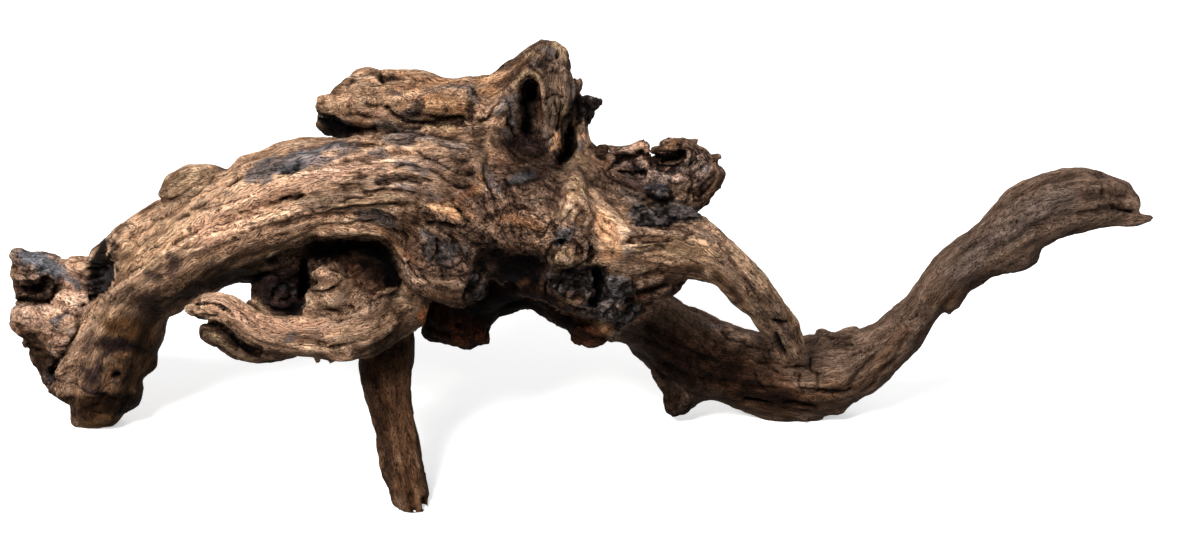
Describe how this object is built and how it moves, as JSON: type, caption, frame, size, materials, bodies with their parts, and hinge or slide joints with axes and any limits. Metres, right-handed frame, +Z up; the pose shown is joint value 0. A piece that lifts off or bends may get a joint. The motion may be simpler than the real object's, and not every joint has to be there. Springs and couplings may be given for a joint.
{
  "type": "driftwood root",
  "caption": "Branching driftwood root with a hollow arm, a curled prong, a tusk and a long rising branch, standing on worn feet as an aquarium or shelf ornament.",
  "frame": {"origin": "middle of the footprint of the bounding box, on the floor", "axes": "+X along the length toward the long rising branch, +Y toward the rear, so the pictured front faces -Y, +Z up"},
  "size_m": [0.5839, 0.1416, 0.2009],
  "materials": {
    "weathered_wood": "dry, weathered, fibrous wood with charred and grey-brown patches"
  },
  "bodies": {
    "root": {"driftwood": "weathered_wood"}
  },
  "joints": []
}
